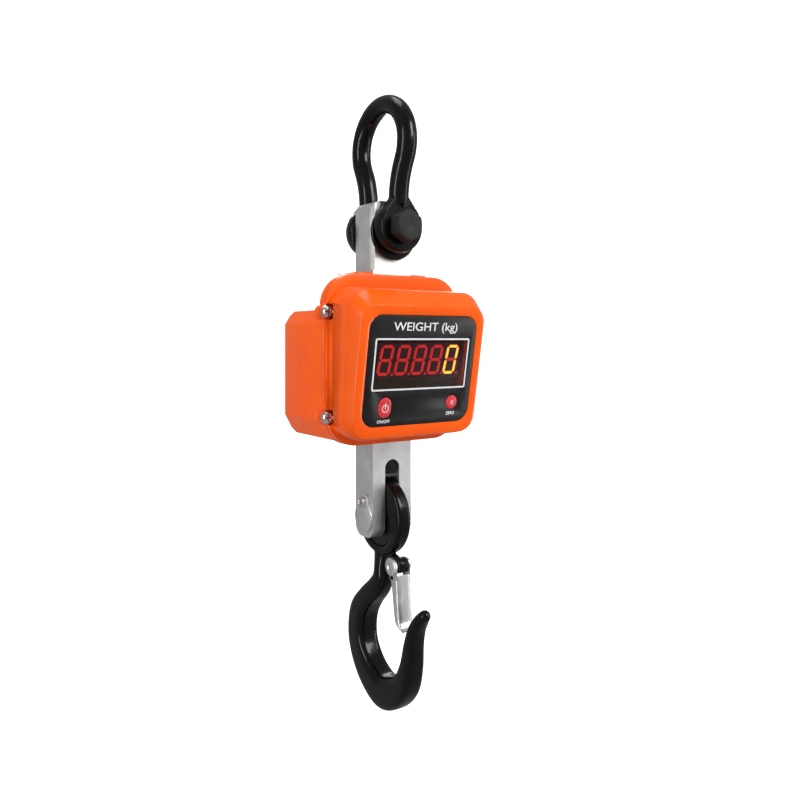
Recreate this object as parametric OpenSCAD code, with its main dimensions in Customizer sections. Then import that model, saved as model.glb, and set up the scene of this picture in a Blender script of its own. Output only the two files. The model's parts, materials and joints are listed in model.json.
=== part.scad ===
// Hanging crane scale: a bow shackle carries a steel load-cell bar, the bar carries the cast
// housing with its display, and a latched hook swings from a pin in the forked foot of the bar.
// Frame: origin on the inner crown of the bow, +Z up, -Y towards the reader of the display.

/* [Shackle] */
// Diameter of the bow's round bar
bow_rod_d = 21; // [19:0.5:22]
// Radius of the bow's crown, to the middle of the bar
bow_r = 43.5; // [42:0.5:45]
// Distance from the inner crown down to the bolt's axis
bolt_drop = 122; // [119:1:124]
// Diameter of the shackle bolt
bolt_d = 20; // [18:0.5:20]
// Greatest radius of the two ears
ear_r = 27; // [26:0.5:28]
// Thickness of each ear
ear_t = 14; // [13:0.5:15]
// Width across the flats of the bolt head and nut
hex_af = 30; // [27:0.5:30]

/* [Load cell bar] */
// Width of the bar, left to right
bar_w = 48; // [46:1:49]
// Thickness of the bar, front to back
bar_t = 34; // [32:0.5:34]
// Length of the bar
bar_len = 350; // [346:1:352]
// Width of the slot that takes the hook's eye
slot_w = 18; // [17.5:0.5:19]

/* [Housing] */
// Width of the flange between the two castings
flange_w = 165; // [162:1:168]
// Width of the rear casting's box
box_w = 156; // [152:1:158]
// How far the box reaches behind the bar's middle
box_back = 76; // [74:1:78]
// Width of the front cover
cover_w = 162; // [158:1:163]
// Wall thickness of both castings
wall = 4; // [3.5:0.5:4.5]
// Lean of the display face, in degrees
face_lean = 9.65; // [8:0.05:10]

/* [Display] */
// Width of the black face panel
panel_w = 130; // [126:1:132]
// Height of the black face panel
panel_h = 109; // [106:1:110]
// Height of one digit
digit_h = 30.5; // [28:0.5:31]
// Distance from one digit to the next
digit_pitch = 20; // [19:0.5:20]
// Travel of the two keys
key_travel = 1.2; // [0.8:0.1:1.4]

/* [Hook] */
// Outer radius of the hook's eye
eye_r = 41; // [40:0.5:41]
// Thickness of the hook's eye
eye_t = 16; // [15:0.5:16.5]
// Diameter of the hook pin
pin_d = 20; // [18:0.5:20]

/* [Hidden] */
$fn = 48;
eps = 0.01;

// shackle
rod_r = bow_rod_d / 2;
bolt_r = bolt_d / 2;
bolt_z = -bolt_drop;
crown_z = rod_r - bow_r;            // centre of the crown's arc
flank_deg = 27.5;                   // how far the crown's arc goes past its widest point
ear_in = 22;                        // inner face of an ear, from the middle
ear_out = ear_in + ear_t;
leg_y = 28.5;                       // middle of a leg where it meets its ear
flank_r = (bow_r * cos(flank_deg) - leg_y) / (1 - cos(flank_deg));
flank_y = bow_r * cos(flank_deg) + flank_r * cos(flank_deg);
flank_z = crown_z - (bow_r + flank_r) * sin(flank_deg);
head_h = 14;                        // height of the bolt head and of the nut
bolt_end = 59;                      // rear end of the bolt
cotter_y = 54.5;
spacer_r = 28;
spacer_hole_r = 15.2;
spacer_in = bar_t / 2 + 0.4;
spacer_drop = spacer_hole_r - bolt_r - 0.2;

// bar
bar_top = -94;
bar_bottom = bar_top - bar_len;
slot_top = bar_bottom + 81;
gauge_z = -258;
hook_pin_z = -420;
pin_r = pin_d / 2;
fit = 0.05;                         // radial clearance of a running fit

// housing
split_y = -18;                      // front face of the rear casting's flange
flange_back = -8.5;
gasket_t = 1;
cover_back = split_y - gasket_t;
flange_front = cover_back - 6;
flange_top = -171;
flange_bottom = -344;
flange_h = flange_top - flange_bottom;
flange_mid = (flange_top + flange_bottom) / 2;
flange_corner = 34;
box_top = -207;
box_bottom = -339;
neck_w = 88;                        // raised neck where the bar passes through the casting
neck_top = flange_top + 2;
neck_back = 24;
web_y = bar_t / 2 + 0.8;            // wall between the bar and the battery
web_t = 4.2;
lug_x = 80.5;
lug_zs = [-210.6, -314];
lug_r = 7.6;
notch_r = 7.8;                      // half-round notch over each lug, for the screw's head
cover_top = -186;
cover_bottom = -335;
bevel_y = -57;
bevel_lean = 6;
cell_screw_zs = [-222, -318];
door_w = 96;
door_h = 100;
door_z = -272;
door_t = 3;
door_screw_x = door_w / 2 - 5;
door_screw_z = door_h / 2 - 5;

// display face: u across, v up the leaning face, n out of it
face_y = -69.5;
face_z = -262;
bezel_w = 150;
bezel_h = 131;
bezel_v = -7.5;
panel_v = -6.5;
panel_t = 1.5;
recess = 1.8;
window_w = 115;
window_h = 51.5;
frame_line = 1.8;
digits_u = -42;
digits_v = 3.6;
power_u = -40;
power_v = -42.5;
zero_u = 42;
zero_v = -40.5;
key_top = 0.8;
board_n = -17;
MAIN_POSTS = [[34, -312], [62, -230], [34, -230]];

// hook: stations along the body, each [y, z, half width along X, half depth, corner: 1 is a
// round bar, lower is squarer]
STATIONS = [[0, -458, 7.4, 13, 0.9], [0, -468, 9, 10.6, 1], [0, -480, 10, 10, 1],
            [1, -491, 10.5, 10.8, 0.85], [8, -502, 11.5, 11.2, 0.65], [23, -516, 12.8, 11.6, 0.55],
            [36, -532, 13.5, 13.2, 0.52], [41, -550, 13.5, 14, 0.52],
            [39.5, -569, 13.5, 14.5, 0.52], [29.3, -587.4, 13.5, 15.6, 0.52],
            [13.4, -601.2, 13.5, 16.7, 0.52], [-6, -608.4, 13.5, 17.4, 0.52],
            [-25.3, -602.6, 13, 16.2, 0.52], [-42, -589, 12.3, 12.8, 0.55],
            [-51, -568, 11.5, 9.6, 0.6], [-55, -545, 10.5, 7.8, 0.7], [-60, -528, 9.5, 7.2, 0.8],
            [-67, -517, 8.2, 6.8, 0.9], [-73, -510.5, 6.2, 6, 1]];
STEPS = 3;                          // rings from one station to the next
SIDES = 16;
eye_z = -424;
hole_r = 23;
hole_z = hook_pin_z + pin_r + 0.3 - hole_r;
latch_y = -30;
latch_z = -470.5;
latch_pin_r = 3.5;
latch_half = 9;

// ---- helpers ----

// 2D (x, z) outline made into a slab from y0 to y1
module slab(y0, y1) {
    translate([0, y1, 0]) rotate([90, 0, 0]) linear_extrude(y1 - y0) children();
}

// 2D (y, z) outline made into a plate from x0 to x1
module plate(x0, x1) {
    translate([x0, 0, 0]) rotate([90, 0, 90]) linear_extrude(x1 - x0) children();
}

module rod_y(r, y0, y1, x = 0, z = 0) {
    translate([x, y1, z]) rotate([90, 0, 0]) cylinder(r = r, h = y1 - y0);
}

module rod_x(r, x0, x1, y = 0, z = 0) {
    translate([x0, y, z]) rotate([0, 90, 0]) cylinder(r = r, h = x1 - x0);
}

module box(lo, hi) {
    translate(lo) cube(hi - lo);
}

module round_rect(w, h, r) {
    square([w - 2 * r, h], center = true);
    square([w, h - 2 * r], center = true);
    for (sx = [-1, 1], sy = [-1, 1])
        translate([sx * (w / 2 - r), sy * (h / 2 - r)]) circle(r);
}

module hexagon(af) {
    rotate(30) circle(r = af / sqrt(3), $fn = 6);
}

module bar_arc(r_path, r_bar, from, to) {
    rotate([90, 0, 90]) rotate([0, 0, from])
        rotate_extrude(angle = to - from) translate([r_path, 0]) circle(r_bar);
}

// puts children in the leaning face's own frame: x across, y up, z out of the face
module on_face(u = 0, v = 0, n = 0) {
    translate([0, face_y, face_z]) rotate([90 + face_lean, 0, 0]) translate([u, v, n]) children();
}

module both_sides() {
    children();
    mirror([1, 0, 0]) children();
}

module front_and_back() {
    children();
    mirror([0, 1, 0]) children();
}

// ---- shackle ----

module shackle_leg() {
    bow_end = 180;
    translate([0, flank_y, flank_z]) bar_arc(flank_r, rod_r + 0.03, bow_end - flank_deg, bow_end);
    translate([0, leg_y, flank_z]) sphere(r = rod_r + 0.06);
    translate([0, 0, bolt_z]) rod_y(ear_r - 2, ear_in, ear_out);
    translate([0, ear_in + 4, bolt_z]) rotate([-90, 0, 0])
        cylinder(r1 = ear_r, r2 = ear_r - 2, h = ear_t - 4);
    translate([0, ear_in, bolt_z]) rotate([-90, 0, 0])
        cylinder(r1 = ear_r - 1, r2 = ear_r, h = 4);
    slab(ear_in, ear_out) polygon([[-9, -92], [9, -92], [20.5, bolt_z + 14.5], [-20.5, bolt_z + 14.5]]);
}

module shackle_bow() {
    lap = 0.6;
    color("#1b1c1e") difference() {
        union() {
            translate([0, 0, crown_z]) bar_arc(bow_r, rod_r, -flank_deg - lap, 180 + flank_deg + lap);
            front_and_back() shackle_leg();
        }
        box([-ear_r, -ear_in, bolt_z - ear_r - 1], [ear_r, ear_in, -93]);
        rod_y(bolt_r + 0.3, -ear_out - 1, ear_out + 1, z = bolt_z);
    }
}

module shackle_bolt() {
    color("#26282a") difference() {
        union() {
            rod_y(bolt_r, -ear_out - 1, bolt_end, z = bolt_z);
            slab(-ear_out - head_h, -ear_out - 0.2) translate([0, bolt_z]) hexagon(hex_af);
        }
        translate([0, cotter_y, bolt_z - bolt_r - 1]) cylinder(r = 2.2, h = 2 * bolt_r + 2);
    }
}

module shackle_nut() {
    color("#3a3c3e") difference() {
        slab(ear_out + 0.2, ear_out + head_h) translate([0, bolt_z]) hexagon(hex_af);
        rod_y(bolt_r + fit, ear_out, ear_out + head_h + 1, z = bolt_z);
    }
}

module shackle_cotter() {
    color("silver") {
        translate([0, cotter_y, bolt_z - bolt_r - 6]) cylinder(r = 2, h = 2 * bolt_r + 9);
        translate([0, cotter_y, bolt_z + bolt_r + 6]) rotate([90, 0, 0])
            rotate_extrude() translate([3.6, 0]) circle(1.4);
    }
}

module jaw_spacers() {
    color("#202124") front_and_back() difference() {
        rod_y(spacer_r, spacer_in, ear_in - 0.3, z = bolt_z - spacer_drop);
        rod_y(spacer_hole_r, spacer_in - 1, ear_in + 1, z = bolt_z - spacer_drop);
    }
}

// ---- load cell bar ----

module bar_front() {
    corner = 10;
    translate([-bar_w / 2, bar_bottom]) square([bar_w, bar_len - corner]);
    translate([-bar_w / 2 + corner, bar_bottom]) square([bar_w - 2 * corner, bar_len]);
    for (s = [-1, 1]) translate([s * (bar_w / 2 - corner), bar_top - corner]) circle(corner);
}

module bar_side() {
    foot = 12;
    translate([-bar_t / 2, bar_bottom + foot]) square([bar_t, bar_len - foot]);
    translate([-bar_t / 2 + foot, bar_bottom]) square([bar_t - 2 * foot, foot + 1]);
    for (s = [-1, 1]) translate([s * (bar_t / 2 - foot), bar_bottom + foot]) circle(foot);
}

module load_cell() {
    bevel_x = 2;
    bevel_y = 6;
    bevel_low = -166;
    color("#c9cbcc") difference() {
        intersection() {
            slab(-bar_t / 2, bar_t / 2) bar_front();
            plate(-bar_w / 2, bar_w / 2) bar_side();
        }
        rod_y(bolt_r + fit, -bar_t, bar_t, z = bolt_z);
        box([-slot_w / 2, -bar_t, bar_bottom - 1], [slot_w / 2, bar_t, slot_top - slot_w / 2]);
        rod_y(slot_w / 2, -bar_t, bar_t, z = slot_top - slot_w / 2);
        rod_x(pin_r + fit, -bar_w, bar_w, 0, hook_pin_z);
        rod_x(3.2, -bar_w / 2 - 1, -bar_w / 2 + 12, -2, -407);
        for (s = [-1, 1]) rod_x(12, s * 13.5 - 10.5, s * 13.5 + 10.5, 0, gauge_z);
        for (z = cell_screw_zs) rod_y(4, 0, bar_t, z = z);
        both_sides() mirror([0, 1, 0]) translate([bar_w / 2, bar_t / 2, bevel_low])
            linear_extrude(bar_len) polygon([[eps, eps], [-bevel_x, eps], [eps, -bevel_y]]);
    }
}

// rubber block that fills the slot above the hook's eye
module slot_buffer() {
    half = slot_w / 2 - 0.1;
    color("#151515") slab(-bar_t / 2 + 2, bar_t / 2 - 2) translate([0, slot_top - slot_w / 2])
        intersection() {
            circle(half);
            translate([-half, -6.5]) square([2 * half, 20]);
        }
}

module strain_gauges() {
    color("#b8862d") both_sides() front_and_back()
        box([3.1, 3, gauge_z - 4], [3.7, 8, gauge_z + 4]);
}

module gauge_covers() {
    color("#8f9193") both_sides() rod_x(11.8, bar_w / 2 - 2, bar_w / 2 - 0.2, 0, gauge_z);
}

// ---- castings ----

module box_outline(inset = 0) {
    hw = box_w / 2 - inset;
    top = box_top - inset;
    low = box_bottom + inset;
    top_cut = [9, 14];
    low_cut = [11, 20];
    polygon([[-hw, low + low_cut[1]], [-hw, top - top_cut[1]], [-hw + top_cut[0], top],
             [hw - top_cut[0], top], [hw, top - top_cut[1]], [hw, low + low_cut[1]],
             [hw - low_cut[0], low], [-hw + low_cut[0], low]]);
}

// keeps the rear edges of the box bevelled when it is intersected with the box
module back_profile(inset = 0) {
    cut = 5;
    y0 = split_y - 5;
    y1 = box_back - inset;
    top = box_top - inset;
    low = box_bottom + inset;
    polygon([[y0, top], [y1 - cut, top], [y1, top - cut], [y1, low + cut], [y1 - cut, low],
             [y0, low]]);
}

module flange_outline(inset = 0, lugs = true) {
    translate([0, flange_mid])
        round_rect(flange_w - 2 * inset, flange_h - 2 * inset, flange_corner - inset);
    if (lugs) for (s = [-1, 1], z = lug_zs) translate([s * lug_x, z]) circle(lug_r - inset);
}

module flange_opening() {
    box_outline(wall + 2);
}

module rear_housing() {
    half = neck_w / 2;
    color("#e8590c") difference() {
        union() {
            intersection() {
                slab(flange_back - 1, box_back) box_outline();
                plate(-box_w, box_w) back_profile();
            }
            slab(split_y, flange_back) flange_outline();
            box([-half, split_y, box_top - 6], [half, neck_back, neck_top]);
            box([-half, split_y, flange_bottom - 1], [half, neck_back, box_bottom + 6]);
        }
        slab(split_y - 1, web_y) flange_opening();
        intersection() {
            slab(web_y + web_t, box_back - wall) flange_opening();
            plate(-box_w, box_w) back_profile(wall + 1);
        }
        slab(box_back - wall - 1, box_back + 1) door_opening();
        box([-bar_w / 2 - 0.6, split_y - 1, flange_bottom - 2],
            [bar_w / 2 + 0.6, web_y, neck_top + 1]);
        for (z = [neck_top - 9, flange_bottom + 5]) box([-28, split_y - 1, z], [28, web_y + 2, z + 3]);
        for (z = cell_screw_zs) rod_y(4.2, 0, 30, z = z);
        for (s = [-1, 1], z = lug_zs) rod_y(2.9, split_y - 1, flange_back - 2, s * lug_x, z);
        for (s = [-1, 1], t = [-1, 1])
            rod_y(1.7, box_back - wall - 2, box_back + 1, s * door_screw_x, door_z + t * door_screw_z);
        rod_x(6.1, box_w / 2 - 20, box_w / 2 + 1, 48, -312);
    }
}

module door_opening() {
    translate([0, door_z]) round_rect(76, 86, 5);
}

module housing_gasket() {
    color("#161616") slab(cover_back + eps, split_y - eps) difference() {
        flange_outline(1.5);
        flange_opening();
        translate([-bar_w / 2 - 0.6, flange_bottom - 5]) square([bar_w + 1.2, flange_h + 10]);
        for (s = [-1, 1], z = lug_zs) translate([s * lug_x, z]) circle(3.4);
    }
}

// solid that the cover is cut from: three slices, from the flange to the leaning face
module cover_body(inset) {
    h = cover_top - cover_bottom;
    mid = (cover_top + cover_bottom) / 2;
    hull() {
        slab(flange_front - 1, flange_front + 1) translate([0, mid])
            round_rect(cover_w - 2 * inset, h - 2 * inset, 24 - inset);
        translate([0, bevel_y + inset, mid - 2]) rotate([90 + bevel_lean, 0, 0]) linear_extrude(0.5)
            round_rect(cover_w - 1 - 2 * inset, h - 2 - 2 * inset, 24 - inset);
        on_face(0, bezel_v, -inset - 0.5) linear_extrude(0.5)
            round_rect(bezel_w - 2 * inset, bezel_h - 2 * inset, 17 - inset);
    }
}

module cover_shell() {
    difference() {
        cover_body(0);
        cover_body(wall);
    }
    slab(flange_front, cover_back) difference() {
        flange_outline();
        translate([0, -261]) round_rect(cover_w - 2 * wall, 140, 18);
    }
    // walls round the notches, inside the cover
    for (s = [-1, 1], z = lug_zs) intersection() {
        rod_y(notch_r + 3, flange_front - 11.5, cover_back, s * lug_x, z);
        box([-cover_w / 2 + 2, -60, flange_bottom], [cover_w / 2 - 2, 0, flange_top]);
    }
}

module front_cover() {
    color("#f26a12") difference() {
        cover_shell();
        slab(flange_front - 2, cover_back + 1) translate([0, -261])
            round_rect(cover_w - 2 * notch_r - 16, 140, 12);
        for (s = [-1, 1], z = lug_zs) {
            rod_y(3.4, flange_front - 4, cover_back + 1, s * lug_x, z);
            rod_y(notch_r, flange_front - 8.5, flange_front + 3.5, s * lug_x, z);
        }
        on_face(0, panel_v, -recess) linear_extrude(8) round_rect(panel_w + 0.6, panel_h + 0.6, 14.3);
        on_face(0, 0, -8) linear_extrude(9) square([window_w - 6, window_h - 6], center = true);
        on_face(power_u, power_v, -8) power_outline(2, 9);
        on_face(zero_u, zero_v, -8) cylinder(r = 8.5, h = 9);
    }
}

module cover_screws() {
    color("#b9bbbd") for (s = [-1, 1], z = lug_zs) {
        seat = flange_front + 3.5 - 0.8;
        rod_y(2.8, seat - 2, flange_back - 3, s * lug_x, z);
        difference() {
            intersection() {
                rod_y(6, seat - 4, seat, s * lug_x, z);
                translate([s * lug_x, seat + 4, z]) sphere(r = 8.2);
            }
            for (a = [0, 90]) translate([s * lug_x, seat - 3.4, z]) rotate([0, a, 0])
                cube([7, 2.4, 1.1], center = true);
        }
    }
}

module cover_washers() {
    color("#cfd1d2") for (s = [-1, 1], z = lug_zs) difference() {
        rod_y(7.2, flange_front + 3.5 - 0.78, flange_front + 3.48, s * lug_x, z);
        rod_y(3.1, flange_front, flange_front + 5, s * lug_x, z);
    }
}

module cell_screws() {
    color("#3b3b3b") for (z = cell_screw_zs) {
        rod_y(3.9, 3, web_y + web_t + 1, z = z);
        difference() {
            rod_y(6.5, web_y + web_t + 0.05, web_y + web_t + 6, z = z);
            slab(web_y + web_t + 3, web_y + web_t + 7) translate([0, z]) hexagon(6);
        }
    }
}

module seal(z) {
    color("#151515") translate([0, 0, z]) difference() {
        box([-27.8, split_y + 0.1, 0.1], [27.8, web_y + 1.8, 2.9]);
        box([-bar_w / 2 - 0.1, split_y - 1, -1], [bar_w / 2 + 0.1, bar_t / 2 + 0.1, 4]);
    }
}

module top_seal() {
    seal(neck_top - 9);
}

module bottom_seal() {
    seal(flange_bottom + 5);
}

// ---- display ----

module face_panel() {
    color("#111214") difference() {
        on_face(0, panel_v, -recess + 0.05) linear_extrude(panel_t) round_rect(panel_w, panel_h, 14);
        on_face(0, 0, -4) linear_extrude(5)
            square([window_w - 2 * frame_line, window_h - 2 * frame_line], center = true);
        on_face(power_u, power_v, -4) power_outline(0.4, 5);
        on_face(zero_u, zero_v, -4) cylinder(r = 7.4, h = 5);
    }
}

module power_outline(grow, h) {
    r = 7.3 + grow;
    rise = 2.7;
    for (s = [-1, 1]) translate([0, s * rise, 0]) cylinder(r = r, h = h);
    translate([-r, -rise, 0]) cube([2 * r, 2 * rise, h]);
}

module display_window() {
    color([0.25, 0.02, 0.02, 0.5]) on_face(0, 0, -recess + 0.05) linear_extrude(panel_t - 0.1)
        square([window_w - 2 * frame_line - 0.2, window_h - 2 * frame_line - 0.2], center = true);
}

module digit_modules() {
    depth = -recess - 1.6 - board_n - 1.65;
    w = digit_pitch - 0.4;
    color("#2a0d0d") for (i = [0 : 4])
        on_face(digits_u + i * digit_pitch, digits_v, board_n + 1.65) linear_extrude(depth)
            square([w, digit_h + 4], center = true);
}

module display_board() {
    color("#1d5a2e") difference() {
        on_face(0, -8, board_n) linear_extrude(1.6) round_rect(126, 104, 4);
        for (s = [-1, 1], t = [-1, 1])
            on_face(s * 57, -8 + t * 46, board_n - 1) cylinder(r = 1.8, h = 4);
    }
}

// four between the display board and the cover, three from the main board to the web
module board_standoffs() {
    color("#d0a24a") {
        for (s = [-1, 1], t = [-1, 1]) on_face(s * 57, -8 + t * 46, board_n + 1.65)
            cylinder(r = 3, h = -wall - 0.05 - board_n - 1.65);
        for (p = MAIN_POSTS) rod_y(2.8, 5.65, web_y, p[0], p[1]);
    }
}

module key_switches() {
    base = board_n + 1.65;
    color("#3a3a3c") for (p = [[power_u, power_v], [zero_u, zero_v]]) {
        on_face(p[0], p[1], base) linear_extrude(4) square([6, 6], center = true);
        on_face(p[0], p[1], base + 3.9) cylinder(r = 1.7, h = 1.2);
    }
}

module power_key() {
    color("#c8202a") {
        on_face(power_u, power_v, -4) power_outline(0, key_top + 4);
        on_face(power_u, power_v, -5.2) power_outline(1.6, 1.3);
        on_face(power_u, power_v, board_n + 8.1) cylinder(r = 2.2, h = 4);
    }
}

module zero_key() {
    color("#c8202a") {
        on_face(zero_u, zero_v, -4) cylinder(r = 7, h = key_top + 4);
        on_face(zero_u, zero_v, -5.2) cylinder(r = 8.2, h = 1.3);
        on_face(zero_u, zero_v, board_n + 8.1) cylinder(r = 2.2, h = 4);
    }
}

// ---- inside ----

module main_board() {
    color("#1d5a2e") {
        box([30, 4, -316], [66, 5.6, -226]);
        box([36, 0.5, -300], [50, 4.1, -284]);
        box([38, 1, -262], [58, 4.1, -240]);
    }
}

module battery() {
    color("#2f3437") {
        box([-35, 29, -313], [35, 70.5, -231]);
        for (x = [-24, 24]) box([x - 3, 36, -231.1], [x + 3, 42, -226]);
    }
}

module battery_strap() {
    color("#9a9c9e") difference() {
        box([-37.5, web_y + web_t + 0.05, -284], [37.5, 71.6, -268]);
        box([-35.3, 20, -285], [35.3, 70.7, -267]);
    }
}

module battery_door() {
    color("#e8590c") difference() {
        slab(box_back + 0.8, box_back + 0.8 + door_t) translate([0, door_z]) round_rect(door_w, door_h, 8);
        for (s = [-1, 1], t = [-1, 1])
            rod_y(2.2, box_back, box_back + 9, s * door_screw_x, door_z + t * door_screw_z);
    }
}

module door_gasket() {
    color("#161616") slab(box_back + eps, box_back + 0.79) difference() {
        translate([0, door_z]) round_rect(door_w - 1, door_h - 1, 7.5);
        door_opening();
        for (s = [-1, 1], t = [-1, 1])
            translate([s * door_screw_x, door_z + t * door_screw_z]) circle(2.2);
    }
}

module door_screws() {
    seat = box_back + 0.8 + door_t;
    color("#b9bbbd") for (s = [-1, 1], t = [-1, 1]) {
        x = s * door_screw_x;
        z = door_z + t * door_screw_z;
        rod_y(1.6, box_back - wall, seat + 1, x, z);
        difference() {
            rod_y(3.6, seat + 0.05, seat + 2.4, x, z);
            for (a = [0, 90]) translate([x, seat + 2.4, z]) rotate([0, a, 0])
                cube([4.4, 2, 0.8], center = true);
        }
    }
}

module charge_socket() {
    color("#1c1c1e") difference() {
        union() {
            rod_x(6, box_w / 2 - 16, box_w / 2 + 0.5, 48, -312);
            rod_x(8.5, box_w / 2 + 0.05, box_w / 2 + 2, 48, -312);
        }
        rod_x(3, box_w / 2 - 12, box_w / 2 + 3, 48, -312);
    }
}

module socket_cap() {
    color("#141414") {
        rod_x(9, box_w / 2 + 2.05, box_w / 2 + 4.5, 48, -312);
        rod_x(2.8, box_w / 2 - 6, box_w / 2 + 3, 48, -312);
    }
}

// ---- hook pin and keeper ----

module hook_pin() {
    color("#b4b6b8") {
        rod_x(pin_r, -bar_w / 2, bar_w / 2 + 1, 0, hook_pin_z);
        rod_x(pin_r + 4, bar_w / 2 + 0.05, bar_w / 2 + 4, 0, hook_pin_z);
    }
}

module keeper_plate() {
    color("#c4c6c8") difference() {
        union() {
            rod_x(16, -bar_w / 2 - 2.1, -bar_w / 2 - 0.1, -0.5, -423);
            rod_x(8.5, -bar_w / 2 - 2.1, -bar_w / 2 - 0.1, -2, -407);
            plate(-bar_w / 2 - 2.1, -bar_w / 2 - 0.1)
                polygon([[-10, -409], [6, -409], [14, -421], [-15, -421]]);
        }
        rod_x(3.3, -bar_w / 2 - 4, -bar_w / 2 + 1, -2, -407);
    }
}

module keeper_screw() {
    out = -bar_w / 2 - 2.15;
    color("#a9abad") {
        rod_x(3.1, out - 1, -bar_w / 2 + 10, -2, -407);
        translate([out - 4.2, -2, -407]) rotate([0, 90, 0]) difference() {
            cylinder(r = 5.4, h = 4.2);
            translate([0, 0, -1]) cylinder(r = 2.9, h = 3.4, $fn = 6);
        }
    }
}

// ---- hook ----

// Catmull-Rom value between b and c at t
function blend(a, b, c, d, t) =
    0.5 * (2 * b + (c - a) * t + (2 * a - 5 * b + 4 * c - d) * t * t + (3 * b - a - 3 * c + d) * t * t * t);
last = len(STATIONS) - 1;
function station(i) = STATIONS[max(0, min(last, i))];
RINGS = [for (i = [0 : last * STEPS]) let (k = min(last - 1, floor(i / STEPS)), t = i / STEPS - k)
    blend(station(k - 1), station(k), station(k + 1), station(k + 2), t)];
function heading(i) = let (a = RINGS[max(0, i - 1)], b = RINGS[min(len(RINGS) - 1, i + 1)])
    [b[0] - a[0], b[1] - a[1]] / norm([b[0] - a[0], b[1] - a[1]]);
function swell(x, k) = sign(x) * pow(abs(x), k);
function ring_points(i) = let (p = RINGS[i], h = heading(i)) [for (j = [0 : SIDES - 1])
    let (a = 360 * j / SIDES, q = p[3] * swell(sin(a), p[4]))
    [p[2] * swell(cos(a), p[4]), p[0] - h[1] * q, p[1] + h[0] * q]];

module hook_body() {
    n = len(RINGS);
    points = [for (i = [0 : n - 1]) each ring_points(i)];
    sides = [for (i = [0 : n - 2], j = [0 : SIDES - 1]) let (k = (j + 1) % SIDES)
        [i * SIDES + j, i * SIDES + k, (i + 1) * SIDES + k, (i + 1) * SIDES + j]];
    cap_a = [for (j = [SIDES - 1 : -1 : 0]) j];
    cap_b = [for (j = [0 : SIDES - 1]) (n - 1) * SIDES + j];
    polyhedron(points, concat(sides, [cap_a, cap_b]), convexity = 6);
}

module hook() {
    lug_half = 3.5;
    tip = STATIONS[last];
    color("#1a1b1d") difference() {
        union() {
            hook_body();
            translate([0, tip[0], tip[1]]) sphere(r = tip[2]);
            plate(-eye_t / 2, eye_t / 2) translate([0, eye_z]) circle(eye_r);
            plate(-lug_half, lug_half) {
                translate([latch_y, latch_z]) circle(8);
                polygon([[latch_y, latch_z + 8], [-6, latch_z + 8], [-6, latch_z - 10], [latch_y, latch_z - 8]]);
            }
        }
        rod_x(hole_r, -eye_t, eye_t, 0, hole_z);
        rod_x(latch_pin_r + fit, -9, 9, latch_y, latch_z);
    }
}

// nylon packing that fills the eye under the pin
module eye_packing() {
    color("#17181a") difference() {
        rod_x(hole_r - 0.05, -6, 6, 0, hole_z);
        rod_x(pin_r + 0.3, -7, 7, 0, hook_pin_z);
    }
}

module latch_pin() {
    color("#d4d6d8") {
        rod_x(latch_pin_r, -10, 10, latch_y, latch_z);
        rod_x(9.5, -12.6, -9.4, latch_y, latch_z);
        rod_x(6.5, 9.4, 11.4, latch_y, latch_z);
    }
}

// side view of one cheek of the latch
module latch_cheek() {
    foot = latch_z - 62.5;
    translate([latch_y, latch_z]) circle(7.4);
    polygon([[-37.4, latch_z - 2], [-22.7, latch_z - 2], [-30, latch_z - 20], [-33.5, foot + 1],
             [-36, foot], [-41.5, foot + 2], [-39, latch_z - 30]]);
}

module latch_web() {
    polygon([[-37.4, latch_z - 9], [-35.9, latch_z - 9], [-37.4, latch_z - 30], [-40, latch_z - 58],
             [-48, latch_z - 64], [-48.6, latch_z - 62.6], [-41.5, latch_z - 57], [-39, latch_z - 30]]);
}

module latch() {
    color("#d9dbdd") difference() {
        union() {
            both_sides() plate(latch_half - 1.4, latch_half) latch_cheek();
            plate(-latch_half, latch_half) latch_web();
        }
        rod_x(latch_pin_r + fit, -10, 10, latch_y, latch_z);
    }
}

module latch_spring() {
    color("#5b5d60") both_sides() translate([3.7, latch_y, latch_z]) rotate([0, 90, 0])
        rotate_extrude() translate([latch_pin_r + 0.1, 0]) square([4.6, 3.6]);
}

shackle_bow();
shackle_bolt();
shackle_nut();
shackle_cotter();
jaw_spacers();
load_cell();
slot_buffer();
strain_gauges();
gauge_covers();
rear_housing();
housing_gasket();
front_cover();
cover_screws();
cover_washers();
cell_screws();
top_seal();
bottom_seal();
face_panel();
display_window();
digit_modules();
display_board();
board_standoffs();
key_switches();
power_key();
zero_key();
main_board();
battery();
battery_strap();
battery_door();
door_gasket();
door_screws();
charge_socket();
socket_cap();
hook_pin();
keeper_plate();
keeper_screw();
hook();
eye_packing();
latch_pin();
latch();
latch_spring();
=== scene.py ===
import json
from math import asin, copysign, cos, degrees, hypot, pi, radians, sin, tan

import bmesh
import bpy
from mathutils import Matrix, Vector


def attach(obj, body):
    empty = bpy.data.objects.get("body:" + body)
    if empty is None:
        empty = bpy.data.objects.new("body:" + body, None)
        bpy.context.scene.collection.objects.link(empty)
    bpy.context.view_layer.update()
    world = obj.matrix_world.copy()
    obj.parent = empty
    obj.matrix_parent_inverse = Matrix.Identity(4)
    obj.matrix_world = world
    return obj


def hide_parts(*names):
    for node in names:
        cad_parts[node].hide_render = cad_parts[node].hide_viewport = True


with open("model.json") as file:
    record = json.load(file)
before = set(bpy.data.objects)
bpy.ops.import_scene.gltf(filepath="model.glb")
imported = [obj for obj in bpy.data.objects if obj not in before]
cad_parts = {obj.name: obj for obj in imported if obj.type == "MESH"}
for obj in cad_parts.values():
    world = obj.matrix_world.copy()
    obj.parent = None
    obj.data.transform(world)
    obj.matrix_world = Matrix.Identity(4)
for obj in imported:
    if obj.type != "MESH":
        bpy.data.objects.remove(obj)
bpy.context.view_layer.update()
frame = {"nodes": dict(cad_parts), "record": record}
NODES = frame["nodes"]
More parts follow.
